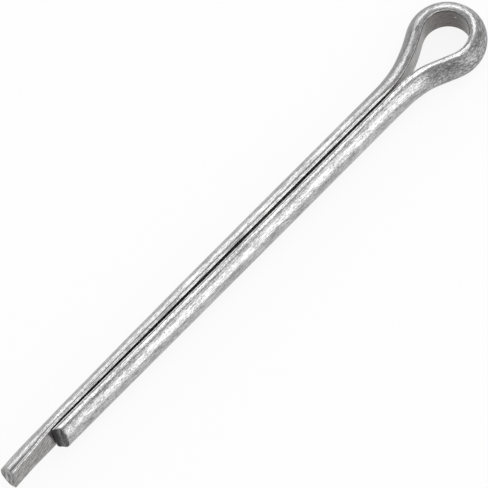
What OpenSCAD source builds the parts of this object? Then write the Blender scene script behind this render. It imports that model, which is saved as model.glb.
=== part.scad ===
// Cotter pin with a teardrop eye, square-cut ends and one long leg.
// One length of half-round wire is folded on itself, flat against flat.
// +X runs along the shank from the eye to the tips, and +Z is square to the eye.
// The origin is on the shank's axis, where the straight legs start to open into the eye.

/* [Shank] */
// Diameter of the round shank that the two legs make together
shank_d = 4.42; // [3.6:0.01:5.2]
// Gap between the flat sides of the two legs
slit_w = 0.2; // [0.05:0.01:0.4]
// Radius of the edges between the wire's flat side and its round side
edge_r = 0.25; // [0.1:0.01:0.4]
// Straight length of the short leg
short_leg_l = 62.6; // [20:0.1:120]
// How far the long leg runs on past the short one
extension_l = 7.4; // [1:0.1:20]

/* [Eye] */
// Width of the opening, across its round end
eye_w = 5.9; // [5:0.1:9]
// Angle at which each side of the eye leaves the shank's axis
flare_angle = 28; // [22:0.5:32]
// Radius of the bend out of the shank, on the flat side of the wire
neck_r = 7.4; // [5:0.1:8]

/* [Hidden] */
$fn = 144;

// Wire thins a little where it is bent, so each bend ends inside the straight wire it runs into
bend_thinning = 0.01;
bend_lap = 0.15;

// The wire's section is a circle about the shank's axis, less half of the slit
shank_r = shank_d / 2;
half_slit = slit_w / 2;
edge_y = half_slit + edge_r;
edge_z = sqrt(pow(shank_r - edge_r, 2) - pow(edge_y, 2));

// Path of the wire's flat side round the eye: neck bend, straight side, round end
eye_r = eye_w / 2;
neck_rise = neck_r * (1 - cos(flare_angle));
side_l = (eye_r * cos(flare_angle) - half_slit - neck_rise) / sin(flare_angle);
side_start = [-neck_r * sin(flare_angle), half_slit + neck_rise];
eye_x = side_start.x - side_l * cos(flare_angle) - eye_r * sin(flare_angle);

// Half-round wire seen end on: the flat is half a slit from the shank's axis, the crown is towards +Y
module wire_section(thinning = 0) {
    for (edge = [-1, 1])
        translate([edge * edge_z, edge_y])
            circle(edge_r - thinning);
    translate([-edge_z, half_slit + thinning])
        square([2 * edge_z, edge_r - thinning]);
    intersection() {
        circle(shank_r - thinning);
        polygon([
            [-edge_z, edge_y],
            [edge_z, edge_y],
            2 * [edge_z, edge_y],
            2 * [edge_z, edge_z],
            2 * [-edge_z, edge_z],
            2 * [-edge_z, edge_y]
        ]);
    }
}

// Wire bent about Z from one angle to another, with its flat side at radius flat_r.
// It laps into the straight wire at both ends
module bent_wire(flat_r, from_angle, to_angle, crown_out) {
    side = crown_out ? 1 : -1;
    lap_angle = bend_lap / flat_r * 180 / PI;
    rotate_extrude(start = from_angle - lap_angle, angle = to_angle - from_angle + 2 * lap_angle)
        translate([flat_r - side * half_slit, 0])
            rotate(-90 * side)
                wire_section(bend_thinning);
}

// Both legs, drawn as one shank and with the short one cut off square on the +Y side
module legs() {
    difference() {
        rotate([0, 90, 0])
            linear_extrude(short_leg_l + extension_l) {
                wire_section();
                mirror([0, 1])
                    wire_section();
            }
        translate([short_leg_l, 0, -shank_d])
            cube([2 * extension_l, shank_d, 2 * shank_d]);
    }
}

// The bend out of the +Y leg and the straight side that carries the wire on to the round end
module neck_and_side() {
    translate([0, half_slit + neck_r, 0])
        bent_wire(neck_r, -90 - flare_angle, -90, crown_out = false);
    translate(side_start)
        rotate([0, -90, -flare_angle])
            translate([0, -half_slit, 0])
                linear_extrude(side_l)
                    wire_section();
}

// The whole pin
module cotter_pin() {
    color("silver") {
        legs();
        neck_and_side();
        mirror([0, 1, 0])
            neck_and_side();
        translate([eye_x, 0, 0])
            bent_wire(eye_r, 90 - flare_angle, 270 + flare_angle, crown_out = true);
    }
}

cotter_pin();
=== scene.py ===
import math
import bpy
from mathutils import Matrix, Vector, noise


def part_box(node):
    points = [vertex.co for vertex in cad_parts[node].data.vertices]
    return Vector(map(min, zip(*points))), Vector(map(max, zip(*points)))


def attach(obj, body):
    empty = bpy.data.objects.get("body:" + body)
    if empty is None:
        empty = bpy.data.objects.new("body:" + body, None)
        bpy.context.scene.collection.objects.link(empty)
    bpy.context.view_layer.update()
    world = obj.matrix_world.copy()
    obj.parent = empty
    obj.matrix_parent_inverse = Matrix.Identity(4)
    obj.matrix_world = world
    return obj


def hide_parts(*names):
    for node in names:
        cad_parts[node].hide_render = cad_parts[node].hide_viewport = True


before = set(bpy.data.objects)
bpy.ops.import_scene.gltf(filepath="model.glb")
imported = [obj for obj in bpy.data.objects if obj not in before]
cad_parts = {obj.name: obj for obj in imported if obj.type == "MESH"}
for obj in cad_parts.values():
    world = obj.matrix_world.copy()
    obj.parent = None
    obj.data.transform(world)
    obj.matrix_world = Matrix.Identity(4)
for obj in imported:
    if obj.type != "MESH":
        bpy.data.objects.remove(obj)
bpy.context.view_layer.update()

mm = 0.001
pinLow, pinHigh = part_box("cotter_pin")
longTip = pinHigh[0] / mm             # tip of the long leg
print("frame loaded: pin runs from %.2f to %.2f mm" % (pinLow[0] / mm, longTip))


def ramp(value, low, high):
    t = min(max((value - low) / (high - low), 0.0), 1.0)
    return t * t * (3 - 2 * t)


def hump(value, at, reach):
    away = (value - at) / reach
    return math.exp(-away * away)


# lengths in mm, angles in degrees; pairs are (long leg's side, short leg's side), spans are (from, to)
wire = {
    "width": 4.385,                   # across the flat
    "depth": 2.100,                   # flat to crown
    "legEdge": 0.34,                  # edge radius between flat and crown, on the legs
    "eyeEdge": (0.15, 0.26),          # the same where the wire is bent into the eye
    "eyeEdgeSpan": (-3.0, 4.0),       # stretch of wire over which the first becomes the second
    "eyeLength": 14.8,                # bent wire on each side of the round end's middle
    "eyeFade": 4.0,                   # length past it over which the leg's edges take over
    "eyeReach": 0.335,                # how far the eye stands past its nominal end
    "extension": 7.326,               # long leg past the short one
    "neckRadius": (20.33, 9.63),
    "flare": (25.64, 27.18),
    "shoulderRadius": (3.110, 3.360),
    "roundRadius": (2.870, 2.790),
    "roundSpan": (46.80, 46.78),      # each half of the round end
    "bendBlend": 1.364,               # length over which one bend runs into the next
    "slit": 0.18,                     # gap between the flats at the neck
    "slitBow": 0.076,                 # more gap half way down
    "eyeRoll": 4.10,                  # the wire rolled over a little as the eye was wound
    "eyeRollAt": 2.4,                 # where that is most, along the wire from the eye's middle
    "eyeRollReach": 5.0,
    "neckSwell": (0.0, 0.056),        # share the wire thickens where the eye runs into the leg
    "neckSwellAt": 12.3,
    "neckSwellReach": 3.0,
    "legSwell": (0.016, 0.0),         # and again half way down the leg
    "legSwellAt": 44.0,
    "legSwellReach": 13.0,
    "headLean": 1.89,                 # eye leans towards the long leg
    "headLeanSpan": (-1.0, 3.0),      # distance towards the eye over which it sets in
    "twistStart": -0.5,               # turn of the legs about their axis, at the neck
    "twistStartSpan": (-12.0, 8.0),   # distance towards the tips over which it sets in
    "twistTip": 9.4,                  # and at the short tip
    "twistPower": 2.6,
    "turnBack": 6.4,                  # the long leg turns back again past the short tip
    "turnBackSpan": (-1.5, 5.0),
    "taper": 0.090,                   # share of the width lost from neck to long tip
    "depthTaper": 0.087,
    "taperPower": 1.49,
    "tipDepth": 0.140,                # share the depth grows again on the long tip
    "tipDepthSpan": (60.0, 69.0),
    "legDrift": 0.105,                # both legs swing towards the short one's side
    "legDriftPower": 4.0,
    "tipDrift": 0.46,                 # and the long tip further still
    "tipDriftFrom": 60.0,
    "tipDriftPower": 1.3,
    "lumpHeight": 0.008,              # gentle unevenness of the drawn wire
    "lumpRate": (0.3, 0.8),           # per mm along the wire and across it
    "lumpShift": 7.0,                 # keeps the lumps apart from the lines
    "lineHeight": 0.0020,             # fine lines along it
    "lineRate": (0.25, 2.6),
    "lineNoise": (0.6, 2.0, 3),       # falloff, ratio and number of octaves
    "grooves": (                      # left by the die, in degrees from the crown's middle to each edge
        {"depth": 0.005, "at": 74.0, "spread": 12.0},
        {"depth": 0.015, "at": 39.0, "spread": 11.0},
    ),
}

# the sheared ends, in mm; pairs are (long tip, short tip)
cutEnds = {
    "past": (-0.17, -0.03),           # how far the cut stands past the nominal tip at its flat side
    "leanDepth": (-0.06, 0.06),       # its lean per mm of depth
    "leanHeight": (0.05, 0.10),       # and per mm of height
    "reach": 3.0,                     # length over which the lean dies out
    "lip": (0.0, 0.53),               # lip left standing along the flat
    "lipWidth": 0.9,
    "crownRoll": (0.05, 0.05),        # how far the edge is rolled in at the crown
    "flatRoll": (0.06, 0.04),         # and at the flat
    "flatRollDepth": 0.5,
    "rollLength": (0.08, 0.05),
    "heart": 0.42,                    # middle of the face, as a share of the depth
    "tornHeight": 0.03,
    "tornRate": 2.5,                  # per mm
    "tornNoise": (0.7, 2.0, 3),
    "tornFrom": 0.3,                  # share of the way in from which the face is torn in full
}

# how finely the mesh is laid out
meshing = {
    "pathStep": 0.05,
    "stepsPerRing": 5,
    "crownPoints": 64,
    "edgePoints": 8,
    "flatPoints": 26,
    "rollRings": 6,
    "capRings": 10,
    "edgeRounds": 50,                 # rounds of halving that place the edge on the crown
    "closingRounds": 4,               # and rounds that close the eye on the slit
}

shortTip = longTip - wire["extension"]
tips = (longTip, shortTip)


def sectionOutline(edgeRadius):
    # closed D outline as (n, z): flat at n = 0, crown at n = depth
    halfWidth = wire["width"] / 2
    depth = wire["depth"]
    edgePoints = meshing["edgePoints"]
    crownPoints = meshing["crownPoints"]
    flatPoints = meshing["flatPoints"]

    def crownAt(turn):
        inward = -Vector((halfWidth * math.sin(turn), depth * math.cos(turn))).normalized()
        return Vector((depth * math.sin(turn), halfWidth * math.cos(turn))), inward

    low, high = 0.0, math.pi / 2
    for _ in range(meshing["edgeRounds"]):
        turn = (low + high) / 2
        point, inward = crownAt(turn)
        if point.x + edgeRadius * inward.x < edgeRadius:
            low = turn
        else:
            high = turn
    centre = point + edgeRadius * inward
    leave = math.atan2(-inward.y, -inward.x)
    half = []
    for i in range(edgePoints):       # the edge, from the flat to the crown
        a = math.pi + (leave - math.pi) * i / edgePoints
        half.append(Vector((centre.x + edgeRadius * math.cos(a), centre.y + edgeRadius * math.sin(a))))
    for i in range(crownPoints // 2):
        half.append(crownAt(turn + (math.pi / 2 - turn) * 2 * i / crownPoints)[0])
    top = [crownAt(math.pi / 2)[0]]
    other = [Vector((point.x, -point.y)) for point in reversed(half)]
    flat = [Vector((0, centre.y * (2 * i / flatPoints - 1))) for i in range(1, flatPoints)]
    return half + top + other + flat


def outlineNormals(outline):
    normals = []
    for i, point in enumerate(outline):
        along = outline[(i + 1) % len(outline)] - outline[i - 1]
        normals.append(Vector((-along.y, along.x)).normalized())
    return normals


def curvatureAt(length, bends):
    # curvature of the flat side, averaged over the blend so that bends run together
    blend = wire["bendBlend"]
    total = 0.0
    start = 0.0
    for bendLength, curvature in bends:
        overlap = min(start + bendLength, length + blend / 2) - max(start, length - blend / 2)
        total += curvature * max(overlap, 0.0) / blend
        start += bendLength
    if length < blend / 2:            # the round end goes on past the middle
        total += bends[0][1] * (blend / 2 - length) / blend
    return total


def halfPath(which):
    # flat side from the middle of the round end to one tip: (x, y, heading)
    neck = wire["neckRadius"][which]
    flare = math.radians(wire["flare"][which])
    span = math.radians(wire["roundSpan"][which])
    shoulder = wire["shoulderRadius"][which]
    roundEnd = wire["roundRadius"][which]
    step = meshing["pathStep"]
    straightSide = 3.0                # a first guess, then what closes the eye on the slit
    for _ in range(meshing["closingRounds"]):
        bends = [
            (roundEnd * span, 1 / roundEnd),
            (shoulder * (math.pi / 2 + flare - span), 1 / shoulder),
            (straightSide, 0.0),
            (neck * flare, -1 / neck),
        ]
        x = pinLow[0] / mm - wire["eyeReach"] + wire["depth"]
        y, heading, length = 0.0, 0.0, 0.0
        path = [(x, y, heading)]
        while x < tips[which]:
            bend = curvatureAt(length + step / 2, bends) * step
            x += step * math.sin(heading + bend / 2)
            y += step * math.cos(heading + bend / 2)
            heading += bend
            length += step
            path.append((x, y, heading))
        straightSide += (y - wire["slit"] / 2) / math.sin(flare)
    print("half of the wire: %.1f mm, straight side %.2f mm" % (length, straightSide))
    return path


def pathPoint(path, length):
    position = min(length / meshing["pathStep"], len(path) - 1.001)   # just short of the path's end
    index = int(position)
    part = position - index
    return [a + (b - a) * part for a, b in zip(path[index], path[index + 1])]


def skinHeight(along, n, z):
    # height of the drawn surface over a perfect section; the grooves are alike on both sides
    rate, acrossRate = wire["lumpRate"]
    lump = noise.noise(Vector((along * rate, n * acrossRate, z * acrossRate + wire["lumpShift"])))
    rate, acrossRate = wire["lineRate"]
    line = noise.fractal(Vector((along * rate, n * acrossRate, z * acrossRate)), *wire["lineNoise"])
    place = math.degrees(math.atan2(abs(z) / (wire["width"] / 2), n / wire["depth"]))
    drop = 0.0
    for groove in wire["grooves"]:
        drop += groove["depth"] * hump(place, groove["at"], groove["spread"])
    return wire["lumpHeight"] * lump + wire["lineHeight"] * line - drop


def bendPin(x, y, z, which):
    # head leaned over, legs turned a little on their way to the tips
    lean = math.radians(wire["headLean"]) * ramp(-x, *wire["headLeanSpan"])
    x, y = x * math.cos(lean) - y * math.sin(lean), x * math.sin(lean) + y * math.cos(lean)
    share = min(max(x / shortTip, 0.0), 1.0) ** wire["twistPower"]
    turn = wire["twistStart"] * ramp(x, *wire["twistStartSpan"])
    turn += (wire["twistTip"] - wire["twistStart"]) * share
    if which == 0:
        start, end = wire["turnBackSpan"]
        turn -= wire["turnBack"] * ramp(x, shortTip + start, shortTip + end)
    turn = math.radians(turn)
    return Vector((x, y * math.cos(turn) - z * math.sin(turn), y * math.sin(turn) + z * math.cos(turn)))


def wirePoint(paths, along, n, z, rise):
    # where a spot of the unbent wire ends up in the pin; rise lifts it off a sheared face
    which = 1 if along > 0 else 0
    side = 1 if along > 0 else -1
    x, y, heading = pathPoint(paths[which], abs(along))
    down = max(x / shortTip, 0.0)
    y += wire["slitBow"] / 2 * math.sin(math.pi * min(down, 1.0)) ** 2
    swing = wire["legDrift"] * down ** wire["legDriftPower"]
    tapered = max(x / longTip, 0.0) ** wire["taperPower"]
    narrower = 1 - wire["taper"] * tapered
    thinner = 1 - wire["depthTaper"] * tapered
    if which == 0:
        drifted = max(x - wire["tipDriftFrom"], 0.0) / (longTip - wire["tipDriftFrom"])
        swing += wire["tipDrift"] * drifted ** wire["tipDriftPower"]
        thinner *= 1 + wire["tipDepth"] * ramp(x, *wire["tipDepthSpan"])

    nearCut = ramp(x, tips[which] - cutEnds["reach"], tips[which])
    offLip = ramp(n, 0.0, cutEnds["lipWidth"])
    lipped = cutEnds["lip"][which] + cutEnds["leanHeight"][which] * z
    x += nearCut * (cutEnds["past"][which] - (cutEnds["leanDepth"][which] * n + offLip * lipped))

    atNeck = hump(abs(along), wire["neckSwellAt"], wire["neckSwellReach"])
    onLeg = hump(x, wire["legSwellAt"], wire["legSwellReach"])
    deep = n * thinner * (1 + wire["neckSwell"][which] * atNeck) * (1 + wire["legSwell"][which] * onLeg)
    high = z * narrower
    roll = math.radians(wire["eyeRoll"]) * hump(along, wire["eyeRollAt"], wire["eyeRollReach"])
    cosRoll = math.cos(roll)
    sinRoll = math.sin(roll)
    deep, high = deep * cosRoll - high * sinRoll, deep * sinRoll + high * cosRoll
    x += rise - deep * math.cos(heading)
    y = side * (y + deep * math.sin(heading)) + swing
    return bendPin(x, y, high, which) * mm


def layStations(paths):
    # rings along the wire: (length from the round end's middle, how far the cut is rolled, 0 to 1)
    stations = []
    ringStep = meshing["pathStep"] * meshing["stepsPerRing"]
    for which, side in ((0, -1), (1, 1)):
        full = (len(paths[which]) - 1) * meshing["pathStep"]
        rollLength = cutEnds["rollLength"][which]
        last = full - rollLength
        number = int(last / ringStep)
        # the middle ring is laid once, with the long leg's side
        half = [(side * last * i / number, 0.0) for i in range(which, number + 1)]
        for i in range(1, meshing["rollRings"] + 1):
            a = math.pi / 2 * i / meshing["rollRings"]
            half.append((side * (last + rollLength * math.sin(a)), 1 - math.cos(a)))
        stations = stations + half if which else half[::-1]
    return stations


def skinRing(along, roll, legOutline, eyeOutlines):
    # one ring of the skin, as (n, z) in the unbent wire
    across = ramp(along, *wire["eyeEdgeSpan"])
    inEye = 1 - ramp(abs(along), wire["eyeLength"], wire["eyeLength"] + wire["eyeFade"])
    eyeOutline = [a.lerp(b, across) for a, b in zip(*eyeOutlines)]
    outline = [a.lerp(b, inEye) for a, b in zip(legOutline, eyeOutline)]
    flatRoll = cutEnds["flatRoll"][along > 0]
    crownRoll = cutEnds["crownRoll"][along > 0]
    ring = []
    for spot, normal in zip(outline, outlineNormals(outline)):
        inset = roll * (flatRoll + (crownRoll - flatRoll) * ramp(spot.x, 0.0, cutEnds["flatRollDepth"]))
        ring.append(spot + normal * (skinHeight(along, spot.x, spot.y) - inset))
    return ring


def buildWire():
    paths = [halfPath(which) for which in (0, 1)]
    legOutline = sectionOutline(wire["legEdge"])
    eyeOutlines = [sectionOutline(edge) for edge in wire["eyeEdge"]]
    count = len(legOutline)
    points = []
    space = []
    faces = []

    def addPoint(along, spot, rise=0.0):
        points.append(wirePoint(paths, along, spot.x, spot.y, rise))
        space.append((along, spot.x, spot.y))
        return len(points) - 1

    stations = layStations(paths)
    previous = []
    for along, roll in stations:
        ring = [addPoint(along, spot) for spot in skinRing(along, roll, legOutline, eyeOutlines)]
        for i in range(count if previous else 0):
            j = (i + 1) % count
            faces.append((previous[i], ring[i], ring[j], previous[j]))
        previous = ring
    skinFaces = len(faces)

    # sheared faces: rings that close on a middle point, torn by the cut
    heart = Vector((wire["depth"] * cutEnds["heart"], 0))
    tornRate = cutEnds["tornRate"]
    for side, rim in ((-1, list(range(count))), (1, previous)):
        along = space[rim[0]][0]
        rimSpots = [Vector(space[index][1:]) for index in rim]
        for ring in range(1, meshing["capRings"] + 1):
            share = ring / meshing["capRings"]
            tearing = ramp(share, 0.0, cutEnds["tornFrom"])
            fresh = []
            for i in range(count if ring < meshing["capRings"] else 1):
                spot = rimSpots[i].lerp(heart, share)
                place = Vector((spot.x * tornRate, spot.y * tornRate, along))
                torn = noise.fractal(place, *cutEnds["tornNoise"])
                fresh.append(addPoint(along, spot, cutEnds["tornHeight"] * torn * tearing))
            for i in range(count):
                j = (i + 1) % count
                inner = (fresh[j], fresh[i]) if len(fresh) > 1 else (fresh[0],)
                face = (rim[i], rim[j]) + inner
                faces.append(face if side < 0 else face[::-1])
            rim = fresh

    mesh = bpy.data.meshes.new("cotter_pin_wire")
    mesh.from_pydata(points, [], faces)
    attribute = mesh.attributes.new("wireSpace", "FLOAT_VECTOR", "POINT")
    attribute.data.foreach_set("vector", [value for spot in space for value in spot])
    for index, polygon in enumerate(mesh.polygons):
        polygon.use_smooth = True
        polygon.material_index = 0 if index < skinFaces else 1
    piece = bpy.data.objects.new("cotter_pin_wire", mesh)
    bpy.context.scene.collection.objects.link(piece)
    print("wire: %d rings of %d points, %d faces" % (len(stations), count, len(faces)))
    return piece


def addNode(tree, kind, sockets=None, **settings):
    made = tree.nodes.new(kind)
    for name, value in settings.items():
        setattr(made, name, value)
    for name, value in (sockets or {}).items():
        if isinstance(value, bpy.types.NodeSocket):
            tree.links.new(value, made.inputs[name])
        else:
            made.inputs[name].default_value = value
    return made


def newTree(name):
    material = bpy.data.materials.new(name)
    material.use_nodes = True
    material.node_tree.nodes.clear()
    return material, material.node_tree


def combine(tree, operation, first, second):
    return addNode(tree, "ShaderNodeMath", {0: first, 1: second}, operation=operation).outputs[0]


def combineVectors(tree, operation, first, second):
    return addNode(tree, "ShaderNodeVectorMath", {0: first, 1: second}, operation=operation).outputs[0]


def unsigned(tree, value):
    return addNode(tree, "ShaderNodeMath", {0: value}, operation="ABSOLUTE").outputs[0]


def addShare(tree, total, part, share):
    return combine(tree, "ADD", total, combine(tree, "MULTIPLY", part, share))


def remap(tree, value, span, result=(0.0, 1.0)):
    return addNode(tree, "ShaderNodeMapRange", {
        "Value": value, "From Min": span[0], "From Max": span[1],
        "To Min": result[0], "To Max": result[1]}).outputs["Result"]


def mixValue(tree, factor, first, second):
    return addNode(tree, "ShaderNodeMix", {0: factor, 2: first, 3: second}).outputs[0]


def mixColour(tree, factor, first, second):
    made = addNode(tree, "ShaderNodeMix", {0: factor, 6: first, 7: second}, data_type="RGBA")
    return made.outputs[2]


def wirePlace(tree):
    # place in the unbent wire in mm: all of it, then the length along and the depth from the flat
    place = addNode(tree, "ShaderNodeAttribute", attribute_name="wireSpace").outputs["Vector"]
    parts = addNode(tree, "ShaderNodeSeparateXYZ", {"Vector": place}).outputs
    return place, parts["X"], parts["Y"]


def raised(tree, height, distance, under=None):
    sockets = {"Height": height, "Strength": 1.0, "Distance": distance}
    if under:
        sockets["Normal"] = under
    return addNode(tree, "ShaderNodeBump", sockets).outputs["Normal"]


def finishMetal(tree, colour, roughness, bump):
    shader = addNode(tree, "ShaderNodeBsdfPrincipled", {
        "Base Color": colour, "Metallic": 1.0, "Roughness": roughness, "Normal": bump})
    addNode(tree, "ShaderNodeOutputMaterial", {"Surface": shader.outputs["BSDF"]})


# a level is where in a pattern a finish starts and where it is full; other pairs are in mm, along the
# wire or up from the flat; heights are in metres
zincSkin = {
    "dull": (0.38, 0.378, 0.379, 1),
    "pale": (0.87, 0.866, 0.868, 1),
    "grainShare": 1.2,                      # grain and clouds beside the lines
    "cloudShare": 0.5,
    "paleLevel": (1.12, 1.58),
    "flatDull": (0.23, 0.222, 0.22, 1),     # the flat is duller and scratched aslant
    "flatPale": (0.70, 0.684, 0.68, 1),
    "flatGrainShare": 0.5,
    "flatPaleLevel": (0.62, 0.90),
    "flatEdge": (0.02, 0.07),               # from flat to edge
    "eyeShadedDull": (0.14, 0.128, 0.124, 1),     # and dark inside the eye: a brownish oxide tone with painted shade of the hollow
    "eyeShadedPale": (0.35, 0.325, 0.315, 1),
    "eyeFade": (4.5, 12.0),                 # which ends on both sides of the eye's middle
    "paintedShadeAt": -0.8,                         # painted shade on the wall at the eye's far end, most of it here
    "paintedShadeReach": (0.6, 3.2),
    "paintedShadeLeft": 0.3,                       # share of the wall's tone left under the painted shade
    "bendTone": (0.27, 0.262, 0.260, 1),    # the crown is dulled where it was stretched round the eye
    "bendStart": (-21.0, -15.0),
    "bendEnd": (8.0, 14.0),
    "bendDepth": (0.8, 1.1),
    "bendShare": 0.95,                      # in patches
    "bendLevel": (0.38, 0.62),              # from dulled to bare
    "flankShare": 0.55,                     # evenly and less so on the long leg's side of the eye
    "flankEnd": (-6.0, -1.0),
    "dirtAndShadeTone": (0.20, 0.197, 0.197, 1),   # dirt held in scratches, marks and pits, and painted shade and shadow in some marks
    "scratchShare": 0.8,
    "scratchLevel": (0.60, 0.72),
    "pitShare": 0.6,
    "pitsPerMm": 1.9,
    "pitLevel": (0.5, 1.0),                 # which of them are open
    "pitSize": (0.001, 0.20),               # in cells
    "pitEdge": (0.6, 1.1),                  # share of its size over which a pit fades
    "roughness": (0.22, 0.11),              # where it is dull and where it is pale
    "bendRoughness": 0.42,
    "lineHeight": 0.000009,
    "grainHeight": 0.000007,
    "pitDepth": 0.000020,
}

# squeeze draws a pattern out along the wire, shift keeps it apart from the others; scale is per mm,
# turn in degrees
patterns = {
    "lines": {"squeeze": 0.09, "scale": 6.5, "detail": 3, "shift": 0, "turn": 0},
    "grain": {"squeeze": 0.40, "scale": 7.5, "detail": 2, "shift": 40, "turn": 0},
    "clouds": {"squeeze": 0.5, "scale": 0.6, "detail": 2, "shift": 80, "turn": 0},
    "scratches": {"squeeze": 0.16, "scale": 3.2, "detail": 3, "shift": 120, "turn": 0},
    "slanted": {"squeeze": 0.22, "scale": 3.6, "detail": 3, "shift": 160, "turn": 32},
}
patternRoughness = 0.6


def drawnNoise(tree, place, squeeze, scale, detail, shift, turn):
    # noise in the unbent wire's own space, drawn out along it; turn slants it across the flat
    drawn = addNode(tree, "ShaderNodeMapping", {
        "Vector": place, "Rotation": (0, math.radians(turn), 0)}).outputs["Vector"]
    drawn = addNode(tree, "ShaderNodeMapping", {
        "Vector": drawn, "Location": (shift, 0, 0), "Scale": (squeeze, 1, 1)}).outputs["Vector"]
    return addNode(tree, "ShaderNodeTexNoise", {
        "Vector": drawn, "Scale": scale, "Detail": detail, "Roughness": patternRoughness}).outputs["Fac"]


# dark marks on the wire, with painted shade and shadow among them: place in the unbent wire and half
# sizes, both (along, depth, height)
marksAndShade = {
    "slit_mark_near": {"place": (-43.4, 0.1, 2.1), "size": (2.2, 0.30, 0.30), "strength": 0.9},
    "slit_mark_far": {"place": (-55.4, 0.2, 2.1), "size": (1.8, 0.26, 0.26), "strength": 0.7},
    "eye_spot": {"place": (-7.7, 0.15, 2.05), "size": (0.28, 0.20, 0.20), "strength": 0.8},
    # painted shadow and reflection on the long leg's flat beside the short tip's face
    "shear_painted_shadow": {"place": (-76.15, 0.0, 0.3), "size": (0.40, 0.3, 1.9), "strength": 0.9},
    "tip_shade": {"place": (-82.2, 0.40, 2.05), "size": (2.2, 0.30, 0.6), "strength": 0.7},
    # darker on the flat at the slit's mouth
    "mouth_darkening": {"place": (-12.0, 0.0, 0.5), "size": (2.2, 0.3, 2.2), "strength": 0.8},
}
markAndShadeLevel = (0.36, 0.54)                   # the grain breaks them up

# and one painted highlight: a light speck on the wall inside the eye
paintedGlintSpeck = {"place": (-0.95, 0.0, 0.74), "size": (0.17, 0.20, 0.17), "strength": 0.7}
markEdge = (0.35, 1.0)                      # share of its size over which a mark fades


def softMark(tree, place, mark):
    away = combineVectors(tree, "SUBTRACT", place, mark["place"])
    away = combineVectors(tree, "DIVIDE", away, mark["size"])
    away = addNode(tree, "ShaderNodeVectorMath", {0: away}, operation="LENGTH").outputs["Value"]
    return remap(tree, away, markEdge, (mark["strength"], 0.0))


def marksAndShadeMask(tree, place, grain):
    total, *others = [softMark(tree, place, darkMark) for darkMark in marksAndShade.values()]
    for mark in others:
        total = combine(tree, "ADD", total, mark)
    return combine(tree, "MULTIPLY", total, remap(tree, grain, markAndShadeLevel))


def openPits(tree, place):
    # small scattered cells, only some of which are open
    cells = addNode(tree, "ShaderNodeTexVoronoi", {"Vector": place, "Scale": zincSkin["pitsPerMm"]})
    pick = addNode(tree, "ShaderNodeSeparateColor", {"Color": cells.outputs["Color"]}).outputs[0]
    size = remap(tree, pick, zincSkin["pitLevel"], zincSkin["pitSize"])
    outward = combine(tree, "DIVIDE", cells.outputs["Distance"], size)
    return remap(tree, outward, zincSkin["pitEdge"], (1.0, 0.0))


def flatColour(tree, along, noises):
    # the scratched flat, which goes over to oxide and painted shade inside the eye
    tone = addShare(tree, noises["slanted"], noises["grain"], zincSkin["flatGrainShare"])
    tone = remap(tree, tone, zincSkin["flatPaleLevel"])
    scratched = mixColour(tree, tone, zincSkin["flatDull"], zincSkin["flatPale"])
    # painted shade: darker on the wall at the eye's far end
    fromPaintedShade = unsigned(tree, combine(tree, "SUBTRACT", along, zincSkin["paintedShadeAt"]))
    paintedShade = remap(tree, fromPaintedShade, zincSkin["paintedShadeReach"], (zincSkin["paintedShadeLeft"], 1.0))
    tone = combine(tree, "MULTIPLY", tone, paintedShade)
    # inside the eye: a brownish oxide tone with painted shade of the hollow
    oxideAndShade = mixColour(tree, tone, zincSkin["eyeShadedDull"], zincSkin["eyeShadedPale"])
    inEye = remap(tree, unsigned(tree, along), zincSkin["eyeFade"], (1.0, 0.0))
    return mixColour(tree, inEye, scratched, oxideAndShade)


def zincMaterial():
    material, tree = newTree("zinc_plated_wire")
    place, along, depth = wirePlace(tree)
    noises = {name: drawnNoise(tree, place, **pattern) for name, pattern in patterns.items()}
    pits = openPits(tree, place)

    tone = addShare(tree, noises["lines"], noises["grain"], zincSkin["grainShare"])
    tone = addShare(tree, tone, noises["clouds"], zincSkin["cloudShare"])
    tone = remap(tree, tone, zincSkin["paleLevel"])
    crown = mixColour(tree, tone, zincSkin["dull"], zincSkin["pale"])
    onFlat = remap(tree, depth, zincSkin["flatEdge"], (1.0, 0.0))
    colour = mixColour(tree, onFlat, crown, flatColour(tree, along, noises))

    pastStart = remap(tree, along, zincSkin["bendStart"])
    beforeEnd = remap(tree, along, zincSkin["bendEnd"], (1.0, 0.0))
    stretched = combine(tree, "MULTIPLY", pastStart, beforeEnd)
    stretched = combine(tree, "MULTIPLY", stretched, remap(tree, depth, zincSkin["bendDepth"]))
    offFlank = remap(tree, along, zincSkin["flankEnd"])
    patchy = remap(tree, noises["grain"], zincSkin["bendLevel"], (zincSkin["bendShare"], 0.0))
    share = mixValue(tree, offFlank, zincSkin["flankShare"], patchy)
    dulled = combine(tree, "MULTIPLY", stretched, share)
    colour = mixColour(tree, dulled, colour, zincSkin["bendTone"])

    dirtAndShade = remap(tree, noises["scratches"], zincSkin["scratchLevel"], (0.0, zincSkin["scratchShare"]))
    # the marks include painted shade and shadow
    dirtAndShade = combine(tree, "MAXIMUM", dirtAndShade, marksAndShadeMask(tree, place, noises["grain"]))
    dirtAndShade = combine(tree, "MAXIMUM", dirtAndShade, combine(tree, "MULTIPLY", pits, zincSkin["pitShare"]))
    colour = mixColour(tree, dirtAndShade, colour, zincSkin["dirtAndShadeTone"])
    # painted highlight: a light speck on the wall inside the eye
    colour = mixColour(tree, softMark(tree, place, paintedGlintSpeck), colour, zincSkin["pale"])

    rough = remap(tree, tone, (0.0, 1.0), zincSkin["roughness"])
    rougher = combine(tree, "MULTIPLY", stretched, offFlank)
    rough = mixValue(tree, rougher, rough, zincSkin["bendRoughness"])
    bump = raised(tree, noises["lines"], zincSkin["lineHeight"])
    bump = raised(tree, noises["grain"], zincSkin["grainHeight"], bump)
    bump = raised(tree, combine(tree, "SUBTRACT", 1.0, pits), zincSkin["pitDepth"], bump)
    finishMetal(tree, colour, rough, bump)
    return material


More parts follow.
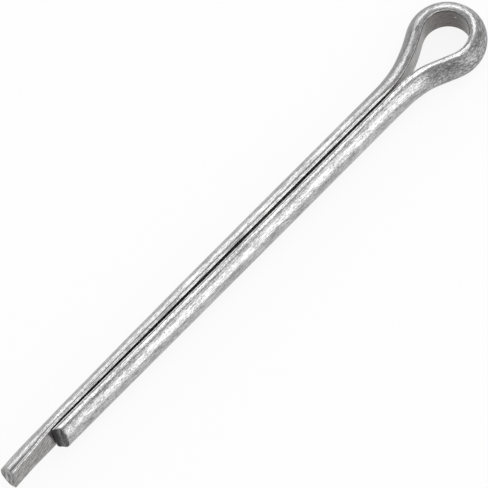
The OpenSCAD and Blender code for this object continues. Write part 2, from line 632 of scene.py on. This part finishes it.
# pairs of colours are (long tip, short tip); the short tip's face is the same steel, darker by painted
# shade
shearedSteel = {
    "dark": ((0.12, 0.117, 0.117, 1), (0.05, 0.048, 0.048, 1)),
    "bright": ((0.74, 0.73, 0.73, 1), (0.30, 0.29, 0.29, 1)),
    "brightLevel": (0.36, 0.64),
    "streakScale": 3.8,                     # per mm
    "streakStretch": 0.25,                  # the blade drags its streaks down the face
    "streakDetail": 4,
    "streakRoughness": 0.65,
    "streakHeight": 0.00003,                # metres
    "lipShadeTone": (0.045, 0.043, 0.043, 1),    # painted shade along the flat side, where the face meets the slit
    "lipShadeDepth": (0.10, 0.50),               # mm, on the long tip and on the short one
    "lipShadeEdge": (0.7, 1.3),                  # share of that depth over which it fades
    "roughness": 0.40,
}


def shearedMaterial():
    material, tree = newTree("sheared_steel")
    place, along, depth = wirePlace(tree)
    dragged = addNode(tree, "ShaderNodeMapping", {
        "Vector": place, "Scale": (1, 1, shearedSteel["streakStretch"])}).outputs["Vector"]
    streaks = addNode(tree, "ShaderNodeTexNoise", {
        "Vector": dragged, "Scale": shearedSteel["streakScale"], "Detail": shearedSteel["streakDetail"],
        "Roughness": shearedSteel["streakRoughness"]}).outputs["Fac"]
    tone = remap(tree, streaks, shearedSteel["brightLevel"])
    tones = zip(shearedSteel["dark"], shearedSteel["bright"])
    longFace, shortFaceShaded = [mixColour(tree, tone, dark, bright) for dark, bright in tones]
    onShortLeg = remap(tree, along, (-1.0, 1.0))    # 0 on the long tip, 1 on the short one
    lipShadeDepth = remap(tree, onShortLeg, (0.0, 1.0), shearedSteel["lipShadeDepth"])
    # lip is a mask of painted shade along the face's flat side
    lip = remap(tree, combine(tree, "DIVIDE", depth, lipShadeDepth), shearedSteel["lipShadeEdge"], (1.0, 0.0))
    # painted shade: the short tip's face darker than the long tip's
    colour = mixColour(tree, onShortLeg, longFace, shortFaceShaded)
    colour = mixColour(tree, lip, colour, shearedSteel["lipShadeTone"])
    bump = raised(tree, streaks, shearedSteel["streakHeight"])
    finishMetal(tree, colour, shearedSteel["roughness"], bump)
    return material


pin = buildWire()
pin.data.materials.append(zincMaterial())
pin.data.materials.append(shearedMaterial())
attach(pin, "root")
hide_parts("cotter_pin")
print("wire finished in zinc and sheared steel")


floorSheet = {
    "size": 3.0,                      # metres
    "colour": (0.90, 0.90, 0.90, 1),
    "white": 1.0,                     # as the camera sees it
    "mirrored": 0.631,                # as the metal reflects it
    "share": 0.88,                    # the rest is paper that takes the shadow
}


def buildFloor(height):
    half = floorSheet["size"] / 2
    corners = [(x, y, height) for x, y in ((-half, -half), (half, -half), (half, half), (-half, half))]
    mesh = bpy.data.meshes.new("studio_floor")
    mesh.from_pydata(corners, [], [(0, 1, 2, 3)])
    floor = bpy.data.objects.new("studio_floor", mesh)
    bpy.context.scene.collection.objects.link(floor)
    material, tree = newTree("white_sheet")
    rays = addNode(tree, "ShaderNodeLightPath").outputs
    paper = addNode(tree, "ShaderNodeBsdfDiffuse", {"Color": floorSheet["colour"]}).outputs["BSDF"]
    strength = remap(tree, rays["Is Glossy Ray"], (0.0, 1.0),
                     (floorSheet["white"], floorSheet["mirrored"]))
    white = addNode(tree, "ShaderNodeEmission", {"Strength": strength}).outputs["Emission"]
    seen = combine(tree, "MAXIMUM", rays["Is Camera Ray"], rays["Is Glossy Ray"])
    seen = combine(tree, "MAXIMUM", seen, rays["Is Transmission Ray"])
    share = combine(tree, "MULTIPLY", seen, floorSheet["share"])
    surface = addNode(tree, "ShaderNodeMixShader", {0: share, 1: paper, 2: white}).outputs[0]
    addNode(tree, "ShaderNodeOutputMaterial", {"Surface": surface})
    mesh.materials.append(material)


lowest = min((pin.matrix_world @ vertex.co).z for vertex in pin.data.vertices)
buildFloor(lowest)
print("floor at %.3f mm" % (lowest / mm))


room = {
    "fill": 1.0,                      # what the room gives to plain surfaces
    "white": 1.0,                     # as the camera sees it
    "longSide": 0.566,                # walls as the metal reflects them: beyond the long leg
    "shortSide": 0.276,               # and beyond the short leg, which is the dim end
}


def buildRoom():
    world = bpy.data.worlds.new("soft_room")
    world.use_nodes = True
    tree = world.node_tree
    tree.nodes.clear()
    rays = addNode(tree, "ShaderNodeLightPath").outputs
    direction = addNode(tree, "ShaderNodeTexCoord").outputs["Generated"]
    sideways = addNode(tree, "ShaderNodeSeparateXYZ", {"Vector": direction}).outputs["Y"]
    walls = remap(tree, sideways, (-1.0, 1.0), (room["longSide"], room["shortSide"]))
    fill = addNode(tree, "ShaderNodeBackground", {"Strength": room["fill"]}).outputs[0]
    mirrored = addNode(tree, "ShaderNodeBackground", {"Strength": walls}).outputs[0]
    white = addNode(tree, "ShaderNodeBackground", {"Strength": room["white"]}).outputs[0]
    glossy = rays["Is Glossy Ray"]
    surface = addNode(tree, "ShaderNodeMixShader", {0: glossy, 1: fill, 2: mirrored}).outputs[0]
    seen = combine(tree, "MAXIMUM", rays["Is Camera Ray"], rays["Is Transmission Ray"])
    surface = addNode(tree, "ShaderNodeMixShader", {0: seen, 1: surface, 2: white}).outputs[0]
    addNode(tree, "ShaderNodeOutputWorld", {"Surface": surface})
    bpy.context.scene.world = world


buildRoom()

# compass: degrees from the tips' direction, round towards the short leg's side; sizes in metres
softboxes = {
    "short_side": {"compass": 108.8, "height": 23.5, "turn": -16,
                   "wide": 0.176, "tall": 0.690, "glow": 0.72},
    "low_card": {"compass": 118.5, "height": 12.4, "turn": 8,
                 "wide": 0.287, "tall": 0.487, "glow": 0.58},
    "overhead": {"compass": 172.5, "height": 71.5, "turn": -47,
                 "wide": 0.193, "tall": 0.252, "glow": 1.30},
    "eye_card": {"compass": 183.4, "height": 41.7, "turn": 5,
                 "wide": 0.106, "tall": 0.273, "glow": 1.05},
    "far_end": {"compass": 207.5, "height": 11.1, "turn": -6,
                "wide": 0.413, "tall": 0.369, "glow": 1.03},
    "long_side": {"compass": 247.2, "height": 9.7, "turn": 60,
                  "wide": 0.432, "tall": 0.241, "glow": 0.95},
}
softboxDistance = 0.50                # metres from the pin's middle


def buildSoftbox(name, box):
    lamp = bpy.data.lights.new(name, "AREA")
    lamp.shape = "RECTANGLE"
    lamp.size = box["wide"]
    lamp.size_y = box["tall"]
    lamp.energy = box["glow"] * math.pi * box["wide"] * box["tall"]
    light = bpy.data.objects.new(name, lamp)
    compass = math.radians(box["compass"])
    height = math.radians(box["height"])
    level = math.cos(height)
    back = Vector((math.cos(compass) * level, math.sin(compass) * level, math.sin(height)))
    across = Vector((0, 0, 1)).cross(back).normalized()
    middle = (pinLow + pinHigh) / 2
    turned = Matrix((across, back.cross(across), back)).transposed().to_4x4()
    turned = turned @ Matrix.Rotation(math.radians(box["turn"]), 4, "Z")
    light.matrix_world = Matrix.Translation(middle + back * softboxDistance) @ turned
    light.visible_camera = False
    bpy.context.scene.collection.objects.link(light)


for name, box in softboxes.items():
    buildSoftbox(name, box)
print("lights placed:", ", ".join(softboxes))


shot = {
    "aim": (31.54, 0.0, 0.0),         # mm, point of the pin that the camera stands over
    "sideTilt": 20.09,                # degrees from overhead, towards the short leg
    "tipTilt": 17.207,                # degrees from overhead, towards the tips
    "roll": 45.021,                   # degrees from the frame's lower edge to the pin's axis
    "distance": 589.2,                # mm from the aim
    "fieldWidth": 58.830,             # mm across the frame at the pin
    "frameRight": 1.678,              # mm that the frame's middle lies right of and above the aim
    "frameUp": 1.890,
    "sensor": 36.0,
    "clip": (0.01, 10.0),             # metres, nearest and farthest that is drawn
}


def buildCamera():
    side = math.radians(shot["sideTilt"])
    tip = math.radians(shot["tipTilt"])
    roll = math.radians(shot["roll"])
    away = Vector((math.sin(tip), math.sin(side) * math.cos(tip), math.cos(side) * math.cos(tip)))
    axis = (Vector((-1, 0, 0)) + away * away.x).normalized()
    across = away.cross(axis)
    right = axis * math.cos(roll) - across * math.sin(roll)
    up = axis * math.sin(roll) + across * math.cos(roll)
    aim = Vector(shot["aim"])
    stand = aim + away * shot["distance"]
    look = aim + right * shot["frameRight"] + up * shot["frameUp"]
    back = (stand - look).normalized()
    right = (right - back * right.dot(back)).normalized()
    data = bpy.data.cameras.new("camera")
    data.sensor_width = shot["sensor"]
    data.lens = shot["sensor"] * shot["distance"] / shot["fieldWidth"]
    data.clip_start, data.clip_end = shot["clip"]
    camera = bpy.data.objects.new("camera", data)
    turned = Matrix((right, back.cross(right), back)).transposed().to_4x4()
    camera.matrix_world = Matrix.Translation(stand * mm) @ turned
    bpy.context.scene.collection.objects.link(camera)
    bpy.context.scene.camera = camera


buildCamera()
bpy.context.scene.view_settings.view_transform = "Standard"
print("camera set")
